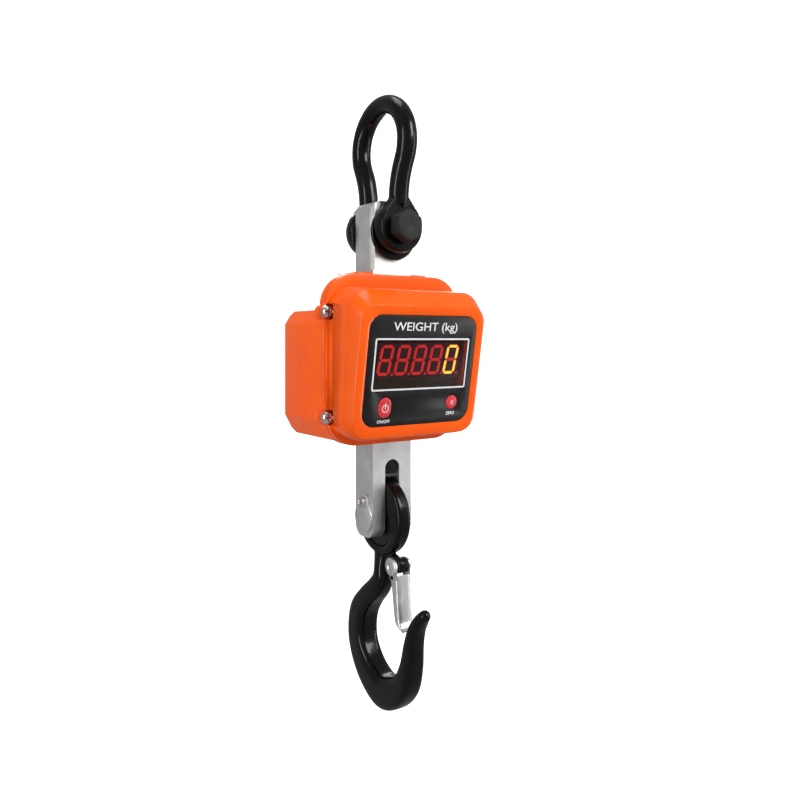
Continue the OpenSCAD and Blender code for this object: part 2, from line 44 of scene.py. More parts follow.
MM = 0.001  # metres in a millimetre


# ---------------------------------------------------------------- materials

def material(name, base, rough=0.4, metal=0.0, **sockets):
    """A Principled material; sockets are set on the shader itself."""
    m = bpy.data.materials.new(name)
    m.use_nodes = True
    p = m.node_tree.nodes["Principled BSDF"]
    p.inputs["Base Color"].default_value = (*base, 1)
    p.inputs["Roughness"].default_value = rough
    p.inputs["Metallic"].default_value = metal
    for key, value in sockets.items():
        p.inputs[key.replace("_", " ")].default_value = value
    return m


def noise(m, scale, detail=3.0, stretch=(1, 1, 1), rough=0.5):
    """Noise in object space, in metres; stretch under 1 draws it out along that axis."""
    n = m.node_tree.nodes
    coord = n.new("ShaderNodeTexCoord")
    mapping = n.new("ShaderNodeMapping")
    mapping.inputs["Scale"].default_value = stretch
    tex = n.new("ShaderNodeTexNoise")
    tex.inputs["Scale"].default_value = scale
    tex.inputs["Detail"].default_value = detail
    tex.inputs["Roughness"].default_value = rough
    m.node_tree.links.new(coord.outputs["Object"], mapping.inputs["Vector"])
    m.node_tree.links.new(mapping.outputs["Vector"], tex.inputs["Vector"])
    return tex.outputs["Fac"]


def remap(m, value, lo, hi, a, b):
    """Stretches lo..hi of a value over a..b."""
    r = m.node_tree.nodes.new("ShaderNodeMapRange")
    for key, x in (("From Min", lo), ("From Max", hi), ("To Min", a), ("To Max", b)):
        r.inputs[key].default_value = x
    m.node_tree.links.new(value, r.inputs["Value"])
    return r.outputs["Result"]


def tint(m, fac, dark, light):
    """Base colour that runs from dark to light with fac."""
    mix = m.node_tree.nodes.new("ShaderNodeMix")
    mix.data_type = "RGBA"
    mix.inputs["A"].default_value = (*dark, 1)
    mix.inputs["B"].default_value = (*light, 1)
    m.node_tree.links.new(fac, mix.inputs["Factor"])
    shader = m.node_tree.nodes["Principled BSDF"]
    m.node_tree.links.new(mix.outputs["Result"], shader.inputs["Base Color"])


def bump(m, height, depth):
    """Adds a bump of so many metres; several calls are chained."""
    p = m.node_tree.nodes["Principled BSDF"]
    b = m.node_tree.nodes.new("ShaderNodeBump")
    b.inputs["Distance"].default_value = depth
    b.inputs["Strength"].default_value = 1.0
    m.node_tree.links.new(height, b.inputs["Height"])
    if p.inputs["Normal"].links:
        m.node_tree.links.new(p.inputs["Normal"].links[0].from_socket, b.inputs["Normal"])
    m.node_tree.links.new(b.outputs["Normal"], p.inputs["Normal"])


def roughness(m, value):
    m.node_tree.links.new(value, m.node_tree.nodes["Principled BSDF"].inputs["Roughness"])


def paint(name, dark, light, rough, coat, shine):
    """Sprayed paint: a slight drift of tone and of gloss under a thin clear top."""
    m = material(name, light, rough, Coat_Weight=coat, Coat_Roughness=0.1, Specular_IOR_Level=shine)
    tint(m, remap(m, noise(m, 22, 2), 0.35, 0.65, 0, 1), dark, light)
    roughness(m, remap(m, noise(m, 60, 1), 0.3, 0.7, rough - 0.03, rough + 0.05))
    return m


def steel(name, dark, light, rough, grain=(1, 1, 0.03), lines=1400, relief=0.25):
    """Ground and plated steel: cloudy plating over fine lines that run up and down."""
    m = material(name, light, rough, 1.0)
    cloud = noise(m, 45, 6, rough=0.65)
    tint(m, remap(m, cloud, 0.3, 0.7, 0, 1), dark, light)
    line = noise(m, lines, 2, stretch=grain)
    roughness(m, remap(m, line, 0.25, 0.75, rough - 0.08, rough + 0.14))
    bump(m, line, 0.00002 * relief)
    bump(m, noise(m, 160, 2), 0.00004 * relief)
    return m


def plain(name, dark, light, rough, scale, depth=0.00002, **sockets):
    """Moulded plastic, rubber or print, with a fine skin."""
    m = material(name, light, rough, **sockets)
    tint(m, remap(m, noise(m, scale / 4, 3), 0.35, 0.65, 0, 1), dark, light)
    roughness(m, remap(m, noise(m, scale, 3), 0.3, 0.7, rough - 0.04, rough + 0.06))
    bump(m, noise(m, scale * 3, 2), depth)
    return m


ORANGE = paint("orange_paint", (0.90, 0.096, 0.0004), (0.95, 0.112, 0.0008), 0.30, 0.24, 0.15)
GLOSS_BLACK = paint("gloss_black", (0.0014, 0.0012, 0.001), (0.003, 0.0028, 0.0026), 0.28, 0.26, 0.10)
bump(GLOSS_BLACK, noise(GLOSS_BLACK, 60, 2), 0.00018)
DULL_BLACK = plain("dull_black", (0.014, 0.014, 0.013), (0.022, 0.022, 0.021), 0.6, 180, 0.00003,
                   Specular_IOR_Level=0.2)
bump(DULL_BLACK, noise(DULL_BLACK, 300, 5, rough=0.7), 0.00008)
BAR_STEEL = steel("bar_steel", (0.60, 0.60, 0.59), (0.78, 0.78, 0.77), 0.40)
ZINC = steel("zinc_steel", (0.55, 0.55, 0.56), (0.78, 0.78, 0.78), 0.22, (1, 1, 0.2), lines=700)
BRIGHT = steel("latch_steel", (0.62, 0.62, 0.64), (0.76, 0.76, 0.78), 0.36, (1, 1, 0.05), relief=0.08)
RUBBER = plain("black_rubber", (0.004, 0.004, 0.004), (0.008, 0.008, 0.008), 0.62, 400, 0.00003,
               Specular_IOR_Level=0.15)
PANEL = plain("panel_film", (0.005, 0.005, 0.0055), (0.009, 0.009, 0.010), 0.34, 900, 0.000004,
              Specular_IOR_Level=0.3)
WHITE_INK = plain("white_ink", (0.72, 0.73, 0.74), (0.82, 0.83, 0.84), 0.45, 900, 0.00001)
RED_KEY = plain("red_key", (0.58, 0.020, 0.028), (0.68, 0.030, 0.038), 0.38, 500, 0.00002)
LENS = plain("red_window", (0.030, 0.0015, 0.002), (0.038, 0.002, 0.003), 0.3, 200, 0.000002, Alpha=0.30,
             Specular_IOR_Level=0.25)
MODULE = plain("digit_black", (0.012, 0.004, 0.004), (0.020, 0.006, 0.006), 0.5, 500)
# the unlit segments get a faint red emission: a painted glow that stands in for the light they only reflect
# back through the red window
UNLIT_PAINTED_GLOW = plain("unlit_segment_painted_glow", (0.16, 0.006, 0.008), (0.22, 0.010, 0.012), 0.45, 500,
              Emission_Color=(0.85, 0.020, 0.018, 1), Emission_Strength=1.2)
LIT = plain("lit_segment", (0.9, 0.35, 0.03), (1.0, 0.45, 0.05), 0.45, 500,
            Emission_Color=(1.0, 0.24, 0.012, 1), Emission_Strength=2.6)
LIT_CORE = plain("lit_core", (1.0, 0.6, 0.1), (1.0, 0.7, 0.2), 0.45, 500,
                 Emission_Color=(1.0, 0.50, 0.06, 1), Emission_Strength=3.2)
BOARD = plain("board_green", (0.010, 0.075, 0.020), (0.016, 0.11, 0.030), 0.35, 300)
BRASS = steel("brass", (0.55, 0.36, 0.10), (0.74, 0.52, 0.18), 0.3)
FOIL = plain("gauge_foil", (0.42, 0.22, 0.04), (0.55, 0.30, 0.06), 0.35, 900)
NYLON = plain("dark_nylon", (0.003, 0.003, 0.003), (0.006, 0.006, 0.006), 0.34, 300, 0.00001,
              Specular_IOR_Level=0.25)
DARK_PLASTIC = plain("inner_plastic", (0.016, 0.018, 0.020), (0.030, 0.032, 0.035), 0.5, 350)

SLOT_OF = {
    "black_steel": GLOSS_BLACK, "black_paint": GLOSS_BLACK, "zinc_steel": ZINC,
    "plated_steel": BAR_STEEL, "black_rubber": RUBBER, "orange_paint": ORANGE,
    "panel_black": PANEL, "red_window": LENS, "digit_grey": MODULE, "board_green": BOARD,
    "brass": BRASS, "gauge_foil": FOIL, "inner_plastic": DARK_PLASTIC, "key_red": RED_KEY,
}
for part in frame["record"]["subparts"]:
    mesh = NODES[part["node"]].data
    mesh.materials.clear()
    mesh.materials.append(SLOT_OF[part["material_slot"]])


# ---------------------------------------------------------------- mesh tools, all in millimetres

def new_object(name, verts, faces, mat=None, smooth=30):
    """A linked mesh object; edges sharper than smooth degrees stay sharp."""
    mesh = bpy.data.meshes.new(name)
    mesh.from_pydata([Vector(v) * MM for v in verts], [], faces)
    bm = bmesh.new()
    bm.from_mesh(mesh)
    bmesh.ops.remove_doubles(bm, verts=bm.verts, dist=1e-7)
    bmesh.ops.recalc_face_normals(bm, faces=bm.faces)
    bm.to_mesh(mesh)
    bm.free()
    if mat:
        mesh.materials.append(mat)
    obj = bpy.data.objects.new(name, mesh)
    bpy.context.scene.collection.objects.link(obj)
    shade(obj, smooth)
    return obj


def shade(obj, angle):
    obj.data.shade_smooth()
    obj.data.set_sharp_from_angle(angle=radians(angle))


def settle(obj):
    """Applies the object's modifiers."""
    bpy.context.view_layer.update()
    depsgraph = bpy.context.evaluated_depsgraph_get()
    done = bpy.data.meshes.new_from_object(obj.evaluated_get(depsgraph))
    old = obj.data
    obj.modifiers.clear()
    obj.data = done
    bpy.data.meshes.remove(old)
    done.name = obj.name
    return obj


def bevel(obj, width, segments=3, angle=30):
    mod = obj.modifiers.new("bevel", "BEVEL")
    mod.width = width * MM
    mod.segments = segments
    mod.limit_method = "ANGLE"
    mod.angle_limit = radians(angle)
    mod.use_clamp_overlap = True
    settle(obj)
    shade(obj, 35)
    return obj


def boolean(obj, other, how="DIFFERENCE"):
    """Cuts obj with other, or keeps what they share; other is used up."""
    mod = obj.modifiers.new("boolean", "BOOLEAN")
    mod.operation = how
    mod.solver = "EXACT"
    mod.object = other
    settle(obj)
    mesh = other.data
    bpy.data.objects.remove(other)
    bpy.data.meshes.remove(mesh)
    return obj


def join(name, objs):
    """Puts the meshes of several objects into the first one."""
    first = objs[0]
    with bpy.context.temp_override(active_object=first, object=first, selected_objects=objs,
                                   selected_editable_objects=objs):
        bpy.ops.object.join()
    first.name = name
    first.data.name = name
    return first


def fuse(obj, voxel, smooth):
    """Turns overlapping closed meshes into one skin with soft inner corners, as on a forging."""
    mod = obj.modifiers.new("remesh", "REMESH")
    mod.mode = "VOXEL"
    mod.voxel_size = voxel * MM
    mod.use_smooth_shade = True
    settle(obj)
    mod = obj.modifiers.new("smooth", "SMOOTH")
    mod.factor = 0.5
    mod.iterations = smooth
    settle(obj)
    obj.data.shade_smooth()
    return obj


def show(obj, body, stands_for=(), mat=None):
    """Sets a finished piece's material, ties it to its body and hides the CAD nodes that it stands for."""
    if mat:
        obj.data.materials.clear()
        obj.data.materials.append(mat)
    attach(obj, body)
    if stands_for:
        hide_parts(*stands_for)
    return obj


def loft(rings, closed=False):
    """Faces between rings of equal length; closed joins the last to the first, else both ends are capped."""
    n = len(rings[0])
    verts = [p for ring in rings for p in ring]
    faces = []
    count = len(rings)
    for i in range(count if closed else count - 1):
        a, b = i * n, (i + 1) % count * n
        faces += [(a + j, a + (j + 1) % n, b + (j + 1) % n, b + j) for j in range(n)]
    if not closed:
        faces += [tuple(range(n))[::-1], tuple(range((count - 1) * n, count * n))]
    return verts, faces


def turns(steps):
    """The angles of one full turn in equal steps."""
    return [2 * pi * k / steps for k in range(steps)]


def circle(cx, cy, r, steps):
    return [(cx + r * cos(t), cy + r * sin(t)) for t in turns(steps)]


def lathe(name, profile, place, steps=64):
    """Turns a profile of (radius, height) round an axis; place maps (x, y, height) to the frame."""
    rings = [[place(max(r, 0.001) * cos(t), max(r, 0.001) * sin(t), h) for t in turns(steps)]
             for r, h in profile]
    return new_object(name, *loft(rings))


def rod(r, reach, place, steps):
    """A round bar, mostly used to cut a hole; it reaches as far to either side of its middle."""
    return lathe("rod", [(0, -reach), (r, -reach), (r, reach), (0, reach)], place, steps)


def along_x(x0=0.0, y0=0.0, z0=0.0, flip=1):
    """A lathe's axis laid along X, or along -X with flip at -1."""
    return lambda a, b, h: (x0 + flip * h, y0 + a, z0 + b)


def along_y(x0=0.0, y0=0.0, z0=0.0, flip=1):
    """The same along Y."""
    return lambda a, b, h: (x0 + a, y0 + flip * h, z0 + b)


def rounded(w, h, r, steps=8):
    """Points round a rounded rectangle, the same number whatever its size."""
    out = []
    for cx, cy, start in ((1, 1, 0), (-1, 1, 90), (-1, -1, 180), (1, -1, 270)):
        for k in range(steps + 1):
            a = radians(start + 90 * k / steps)
            out.append((cx * (w / 2 - r) + r * cos(a), cy * (h / 2 - r) + r * sin(a)))
    return out


def prism(name, outline, place, h0, h1, mat=None):
    """An outline of (a, b) drawn out from h0 to h1."""
    return new_object(name, *loft([[place(a, b, h) for a, b in outline] for h in (h0, h1)]), mat)


def plan(a, b, h):
    """An outline of (x, y), drawn out along Z."""
    return (a, b, h)


def front(a, b, h):
    """An outline of (x, z), drawn out along Y."""
    return (a, h, b)


def side(a, b, h):
    """An outline of (y, z), drawn out along X."""
    return (h, a, b)


def block(name, lo, hi):
    corners = [(lo[0], lo[1]), (hi[0], lo[1]), (hi[0], hi[1]), (lo[0], hi[1])]
    return prism(name, corners, plan, lo[2], hi[2])


def arc(cx, cy, r, a0, a1, steps):
    """Points from a0 to a1 degrees, both ends included."""
    return [(cx + r * cos(radians(a0 + (a1 - a0) * k / steps)),
             cy + r * sin(radians(a0 + (a1 - a0) * k / steps))) for k in range(steps + 1)]


# ---------------------------------------------------------------- shackle

# the crown runs to FLANK degrees below level; each leg then follows an arc centred outside the bow
ROD_R, BOW_R, CROWN_Z, FLANK = 10.5, 43.5, -33.0, 27.5
LEG_Y, BOLT_Z = 28.5, -122.0
EAR_IN, EAR_OUT = 22, 36
HEX_ACROSS, HEX_H, HEX_Y = 30, 13.8, 36.2
COTTER_Y = 54.5
FLANK_R = (BOW_R * cos(radians(FLANK)) - LEG_Y) / (1 - cos(radians(FLANK)))
FLANK_Y = (BOW_R + FLANK_R) * cos(radians(FLANK))
FLANK_Z = CROWN_Z - (BOW_R + FLANK_R) * sin(radians(FLANK))


def tube(name, path, radius, steps):
    """A round bar along 3-D points."""
    path = [Vector(p) for p in path]
    n = len(path)
    rings = []
    last = None
    for i, p in enumerate(path):
        t = path[min(n - 1, i + 1)] - path[max(0, i - 1)]
        t.normalize()
        u = last - t * last.dot(t) if last else t.orthogonal()
        u.normalize()
        last = u
        v = t.cross(u)
        rings.append([p + radius * (u * cos(a) + v * sin(a)) for a in turns(steps)])
    return new_object(name, *loft(rings))


def make_bow():
    right = arc(-FLANK_Y, FLANK_Z, FLANK_R, 0, FLANK, 14)
    crown = arc(0, CROWN_Z, BOW_R, 180 + FLANK, -FLANK, 60)
    left = [(-y, z) for y, z in right][::-1]
    path = [(0, y, z) for y, z in right[:-1] + crown + left[1:]]
    parts = [tube("bow", path, ROD_R, 40)]
    half_round = [(ROD_R * sin(radians(a)), ROD_R * cos(radians(a))) for a in range(0, 181, 12)]
    ear = [(0, EAR_IN), (25.4, EAR_IN), (26.4, 22.8), (27, 25), (27, 27), (26.3, 32), (25.4, 35),
           (24.6, EAR_OUT), (0, EAR_OUT)]
    flare = [(-9, -92), (9, -92), (14.5, -99), (21.5, -107.5), (21.5, -120), (-21.5, -120),
             (-21.5, -107.5), (-14.5, -99)]
    for s in (-1, 1):
        parts.append(lathe("ball", half_round, lambda a, b, h, s=s: (a, s * LEG_Y + b, FLANK_Z + h), 32))
        parts.append(lathe("ear", ear, along_y(z0=BOLT_Z, flip=s), 72))
        parts.append(prism("flare", flare, front, s * EAR_IN, s * EAR_OUT))
    bow = fuse(join("bow_forging", parts), 0.8, 3)
    # the jaw's inner faces are flat, and the rod is cut away between them
    return boolean(bow, block("jaw", (-30, -EAR_IN, -152), (30, EAR_IN, -97)))


show(make_bow(), "suspension", ["shackle_bow"], GLOSS_BLACK)


def hex_prism(name, across, h, place, hole=0.0):
    """A hexagon with the turned chamfer of a bolt head, flats facing left and right."""
    apothem = across / 2
    top_r = apothem * 0.94
    chamfer = radians(30)

    def edge(t):
        return apothem / cos(((t + pi / 6) % (pi / 3)) - pi / 6)

    angles = turns(96)
    drop = [max(0.0, (edge(t) - top_r) * tan(chamfer)) for t in angles]
    inner = max(hole, 0.001)
    rings = [[place(inner * cos(t), inner * sin(t), 0) for t in angles]]
    rings.append([place(edge(t) * cos(t), edge(t) * sin(t), 0) for t in angles])
    rings.append([place(edge(t) * cos(t), edge(t) * sin(t), h - d) for t, d in zip(angles, drop)])
    rings.append([place(top_r * cos(t), top_r * sin(t), h) for t in angles])
    rings.append([place(inner * cos(t), inner * sin(t), h) for t in angles])
    return new_object(name, *loft(rings, closed=True), None, 25)


def make_bolt():
    """A hexagon head at the front, a plain shank, and ridges for the thread at the rear end."""
    head = hex_prism("head", HEX_ACROSS, HEX_H, along_y(y0=-HEX_Y, z0=BOLT_Z, flip=-1))
    bevel(head, 0.5, 2, 20)
    end = 59
    shank = [(0, -37), (9.9, -37), (9.9, 48)]
    turn = 1.5
    for k in range(6):
        y = 50.4 + k * turn
        shank += [(9.95, y), (9.3, y + turn / 2)]
    shank += [(9.3, end - 1), (8.3, end), (0, end)]
    bolt = join("bolt_and_head", [head, lathe("shank", shank, along_y(z0=BOLT_Z), 64)])
    return boolean(bolt, rod(2.3, 14, lambda a, b, h: (a, COTTER_Y + b, BOLT_Z + h), 24))


show(make_bolt(), "suspension", ["shackle_bolt"], DULL_BLACK)
show(bevel(hex_prism("nut", HEX_ACROSS, HEX_H, along_y(y0=HEX_Y, z0=BOLT_Z), hole=10.0), 0.4, 2, 20),
     "suspension", ["shackle_nut"], DULL_BLACK)


def make_cotter():
    """A split pin: two half wires through the bolt, a round eye, and ends bent apart."""
    wires = []
    for s in (-1, 1):
        path = [(s * 3.4, -15.0), (s * 2.2, -13.6), (s * 1.05, -11.6)]
        path += [(s * 0.95, h) for h in (-8, 0, 8, 11)]
        path += [(s * (0.4 + 3.6 * sin(radians(a))), 15.8 - 4.0 * cos(radians(a)))
                 for a in range(20, 181, 20)]
        wires.append(tube("wire", [(x, COTTER_Y, BOLT_Z + h) for x, h in path], 0.92, 14))
    return join("split_pin", wires)


show(make_cotter(), "suspension", ["shackle_cotter"], ZINC)


def make_spacers():
    """The rings between ears and bar, which hang 5 mm low on the bolt."""
    profile = [(15.3, 17.9), (15.8, 17.4), (27.2, 17.4), (28, 18.4), (28, 20.6), (27.2, 21.7),
               (15.8, 21.7), (15.3, 21.2)]
    rings = []
    for s in (-1, 1):
        place = along_y(z0=BOLT_Z - 5, flip=s)
        ring = [[place(r * cos(t), r * sin(t), h) for t in turns(80)] for r, h in profile]
        rings.append(new_object("spacer", *loft(ring, closed=True)))
    return bevel(join("jaw_rings", rings), 0.4, 2, 25)


show(make_spacers(), "suspension", ["jaw_spacers"], GLOSS_BLACK)


# ---------------------------------------------------------------- load bar and its pin

BAR_X, BAR_Y, BAR_TOP, BAR_LOW = 24, 17, -94, -444
SLOT_X, SLOT_DEEP = 9, 81
BORE_R, HOOK_PIN_Z = 10.1, -420
KEEPER_SCREW = (-2, -407)


def make_bar():
    """A slotted foot, rounded as seen from the side, and a top with round corners and front bevels."""
    low, top_r, foot_r = BAR_LOW, 10, 12
    slot_z = low + SLOT_DEEP - SLOT_X
    outline = [(-BAR_X, low), (-SLOT_X, low)] + arc(0, slot_z, SLOT_X, 180, 0, 20)
    outline += [(SLOT_X, low), (BAR_X, low)]
    for x, start in ((BAR_X - top_r, 0), (top_r - BAR_X, 90)):
        outline += arc(x, BAR_TOP - top_r, top_r, start, start + 90, 10)
    bar = prism("bar", outline, front, -BAR_Y, BAR_Y)
    foot = [(-BAR_Y, BAR_TOP + 5)]
    for y, start in ((foot_r - BAR_Y, 180), (BAR_Y - foot_r, 270)):
        foot += arc(y, low + foot_r, foot_r, start, start + 90, 12)
    foot += [(BAR_Y, BAR_TOP + 5)]
    boolean(bar, prism("foot", foot, side, -30, 30), "INTERSECT")
    for sx in (-1, 1):
        wedge = [(sx * 24.01, -11), (sx * 22, -17.01), (sx * 22, -19), (sx * 26, -19), (sx * 26, -11)]
        boolean(bar, prism("wedge", wedge, plan, -166, -80))
    boolean(bar, rod(BORE_R, 30, along_y(z0=BOLT_Z), 48))
    boolean(bar, rod(BORE_R, 30, along_x(z0=HOOK_PIN_Z), 48))
    bevel(bar, 0.4, 2, 17)
    shade(bar, 12)
    return bar


show(make_bar(), "scale_body", ["load_cell"], BAR_STEEL)
cross_pin = [(0, -24), (9.4, -24), (9.95, -23.4), (9.95, 24.05), (14, 24.05), (14, 26.8), (12.8, 28),
             (0, 28)]
show(lathe("cross_pin", cross_pin, along_x(z0=HOOK_PIN_Z), 64),
     "scale_body", ["hook_pin"], BAR_STEEL)


def make_buffer():
    """The rubber block in the slot, over the hook's eye."""
    roof = arc(0, -372, 8.9, -46, 226, 36)
    return bevel(prism("buffer", roof, front, -15, 15), 0.5, 2)


show(make_buffer(), "scale_body", ["slot_buffer"], RUBBER)


def make_keeper():
    """A round plate over the pin's end with a smaller round for its screw, drawn as one outline."""
    a0 = degrees(asin(0.55))
    shape = arc(-0.5, -423, 15.8, 180 - a0, 360 + a0, 36) + arc(*KEEPER_SCREW, 8.3, -10, 190, 16)
    plate = prism("keeper", shape, side, -26.1, -24.1)
    boolean(plate, rod(3.3, 5, along_x(-25, *KEEPER_SCREW), 24))
    return bevel(plate, 0.5, 2, 25)


show(make_keeper(), "scale_body", ["keeper_plate"], BAR_STEEL)


def make_keeper_screw():
    head = lathe("head", [(0, -12), (3.05, -12), (3.05, 0.1), (5.4, 0.1), (5.4, 3.6), (4.8, 4.3), (0, 4.3)],
                 along_x(-26.15, *KEEPER_SCREW, -1), 48)
    y, z = KEEPER_SCREW
    socket = [(y + 3.2 * cos(radians(a)), z + 3.2 * sin(radians(a))) for a in range(30, 390, 60)]
    return boolean(head, prism("socket", socket, side, -27.6, -33))


show(make_keeper_screw(), "scale_body", ["keeper_screw"], ZINC)


# ---------------------------------------------------------------- castings

FACE_Y, FACE_Z, LEAN = -69.5, -262.0, radians(9.65)
PANEL_V = -6.5
LUGS = [(s * 80.5, z) for s in (-1, 1) for z in (-210.6, -314)]
LUG_R, NOTCH_R, SEAT_Y = 7.6, 7.8, -21.5
FLANGE_RIM = [(a, -257.5 + b) for a, b in rounded(165, 173, 34, 14)]
DOOR_Z = -272
DOOR_SCREWS = [(s * 43, DOOR_Z + t * 45) for s in (-1, 1) for t in (-1, 1)]


def on_face(u, v, n):
    """Across, up and out of the leaning display face."""
    return (u, FACE_Y - v * sin(LEAN) - n * cos(LEAN), FACE_Z + v * cos(LEAN) - n * sin(LEAN))


def make_cover():
    """Rings of one rounded rectangle after another, from the flange to the panel's recess."""
    def level(w, h, r, y, z):
        return [(a, y, z + b) for a, b in rounded(w, h, r, 12)]

    def leaning(w, h, r, y, z, lean):
        return [(a, y - b * sin(lean), z + b * cos(lean)) for a, b in rounded(w, h, r, 12)]

    def face(w, h, r, n, v):
        return [on_face(a, v + b, n) for a, b in rounded(w, h, r, 12)]

    mid = -260.5
    rings = [level(154, 141, 20, -19.2, mid)]
    rings += [level(162, 149, 24, y, mid) for y in (-19.2, -25, -32)]
    # the rounded edge between the walls and the bevel round the face
    rings.append(leaning(161.2, 147.6, 24, -55.4, mid - 2.0, radians(5.8)))
    rings.append(leaning(160.8, 147.2, 23.8, -56.5, mid - 2.1, radians(5.9)))
    rings.append(leaning(160.2, 146.5, 23.5, -57.3, mid - 2.2, radians(6.0)))
    # the face's edge, then the panel's recess
    for w, h, r, n in ((150.6, 131.6, 17.4, -0.9), (149.9, 130.9, 17.0, -0.35), (149.2, 130.2, 16.7, -0.1),
                       (148.4, 129.4, 16.3, 0)):
        rings.append(face(w, h, r, n, -7.5))
    for w, h, r, n in ((132.4, 111.4, 15.2, 0), (131.2, 110.2, 14.6, -0.3), (130.6, 109.6, 14.3, -1.8),
                       (110, 90, 5, -1.8), (110, 90, 5, -4)):
        rings.append(face(w, h, r, n, PANEL_V))
    cover = new_object("cover", *loft(rings, closed=True))
    inner = [(a, mid + b) for a, b in rounded(154, 140, 20, 14)]
    quads = [[(a, y, b) for a, b in pts]
             for pts, y in ((inner, -19), (FLANGE_RIM, -19), (FLANGE_RIM, -25), (inner, -25))]
    flange = bevel(new_object("flange", *loft(quads, closed=True)), 1.3, 3)
    lugs = [bevel(prism("lug", circle(x, z, LUG_R, 40), front, SEAT_Y, -19), 0.6, 2) for x, z in LUGS]
    for x, z in LUGS:
        notch = lathe("notch", [(0, -33.5), (6.6, -33.5), (NOTCH_R, -32.3), (NOTCH_R, SEAT_Y), (0, SEAT_Y)],
                      along_y(x, 0, z), 40)
        boolean(flange, prism("cut", circle(x, z, NOTCH_R, 40), front, -40, SEAT_Y))
        boolean(cover, notch)
    # dished walls behind the notches, so that no hole opens into the cover
    for x, z in LUGS:
        wall = lathe("wall", [(9.6, -19.5), (NOTCH_R, -19.5), (NOTCH_R, -32.3), (6.6, -33.5), (0.2, -33.5),
                              (0.2, -35.1), (7.4, -35.1), (9.6, -33)], along_y(x, 0, z), 40)
        inside = block("inside", (-77.5, -45, -340), (77.5, 0, -180))
        lugs.append(boolean(wall, inside, "INTERSECT"))
    return join("cover_casting", [cover, flange] + lugs)


show(make_cover(), "scale_body", ["front_cover"], ORANGE)


def make_rear():
    """A box with clipped corners behind a flange, with a neck round the bar above and below it."""
    hw, top, low = 78, -207, -339
    clipped = [(-hw, low + 20), (-hw, top - 14), (-hw + 9, top), (hw - 9, top), (hw, top - 14),
               (hw, low + 20), (hw - 11, low), (-hw + 11, low)]
    body = prism("body", clipped, front, -10, 76)
    profile = [(-23, -206.5), (70.5, -206.5), (76, -212), (76, -333.5), (70, -339.5), (-23, -339.5)]
    boolean(body, prism("profile", profile, side, -90, 90), "INTERSECT")
    bevel(body, 2.2, 4, 20)
    flange = bevel(prism("rear_flange", FLANGE_RIM, front, -18, -8.5), 1.4, 3)
    lugs = [bevel(prism("lug", circle(x, z, LUG_R, 40), front, -18, -8.5), 1.0, 2) for x, z in LUGS]
    necks = []
    for z0, z1 in ((-213, -169), (-345, -330)):
        neck = prism("neck", [(a, 2.5 + b) for a, b in rounded(88, 43, 5, 6)], plan, z0, z1)
        boolean(neck, block("front_cut", (-50, -60, z0 - 1), (50, -17.9, z1 + 1)))
        necks.append(bevel(neck, 1.6, 3, 35))
    for obj in (flange, *necks, body):
        boolean(obj, block("passage", (-24.6, -30, -360), (24.6, 17.8, -150)))
    door = [(a, DOOR_Z + b) for a, b in rounded(76, 86, 5, 6)]
    boolean(body, prism("door_hole", door, front, 71, 80))
    return join("rear_casting", [body, flange] + lugs + necks)


show(make_rear(), "scale_body", ["rear_housing"], ORANGE)


def make_door():
    """The rear door, with three ribs across it."""
    door = prism("door", [(a, DOOR_Z + b) for a, b in rounded(96, 100, 8, 8)], front, 76.8, 79.8)
    for x, z in DOOR_SCREWS:
        boolean(door, rod(2.2, 10, along_y(x, 80, z), 20))
    bevel(door, 0.9, 3)
    ribs = [bevel(block("rib", (-30, 79.5, z - 1.2), (30, 80.9, z + 1.2)), 0.6, 2)
            for z in (-292, -284, -276)]
    return join("door_plate", [door] + ribs)


show(make_door(), "scale_body", ["battery_door"], ORANGE)


def pan_head(name, x, z, y0, flip, r, h):
    """A domed head with a cross recess."""
    profile = [(0, -1.5), (r * 0.45, -1.5), (r * 0.45, 0), (r, 0), (r, h * 0.35), (r * 0.93, h * 0.62),
               (r * 0.75, h * 0.86), (r * 0.45, h * 0.97), (0, h)]
    head = lathe(name, profile, along_y(x, y0, z, flip), 40)
    lo, hi = sorted((y0 + flip * h * 0.45, y0 + flip * (h + 1)))
    for w, t in ((r * 0.62, r * 0.15), (r * 0.15, r * 0.62)):
        boolean(head, block("cross", (x - w, lo, z - t), (x + w, hi, z + t)))
    return head


show(join("cover_screw_heads", [pan_head("head", x, z, -22.3, -1, 6, 4) for x, z in LUGS]),
     "scale_body", ["cover_screws"], ZINC)


def washer(x, z):
    hole, rim, top = 3.2, 7.1, -22.26
    ring = [[(x + r * cos(t), y, z + r * sin(t)) for t in turns(48)]
            for r, y in ((hole, SEAT_Y), (rim, SEAT_Y), (rim, top), (hole, top))]
    return new_object("washer", *loft(ring, closed=True))


show(bevel(join("screw_washers", [washer(x, z) for x, z in LUGS]), 0.15, 2, 30),
     "scale_body", ["cover_washers"], ZINC)
show(join("door_screw_heads", [pan_head("head", x, z, 79.85, 1, 3.6, 2.3) for x, z in DOOR_SCREWS]),
     "scale_body", ["door_screws"], ZINC)
SOCKET_Y, SOCKET_Z = 48, -312
socket_ring = [(3.1, 68), (3.1, 80.0), (7.6, 80.0), (8.5, 79.2), (8.5, 78.05), (6, 78.05), (6, 62), (0.5, 62),
               (0.5, 68)]
show(lathe("socket_ring", socket_ring, along_x(0, SOCKET_Y, SOCKET_Z), 48),
     "scale_body", ["charge_socket"], DARK_PLASTIC)
cap = lathe("cap", [(0, 72), (2.7, 72), (2.7, 80.05), (8.6, 80.05), (9, 80.6), (9, 81.6), (8, 82.4),
                    (3, 82.5), (0, 82.3)], along_x(0, SOCKET_Y, SOCKET_Z), 48)
tab = [(SOCKET_Y + 6 + a, SOCKET_Z + b) for a, b in rounded(10, 5, 2.4, 5)]
tab = bevel(prism("tab", tab, side, 80.4, 82.0), 0.5, 2)
show(join("rubber_cap", [cap, tab]), "scale_body", ["socket_cap"], RUBBER)


# ---------------------------------------------------------------- display face

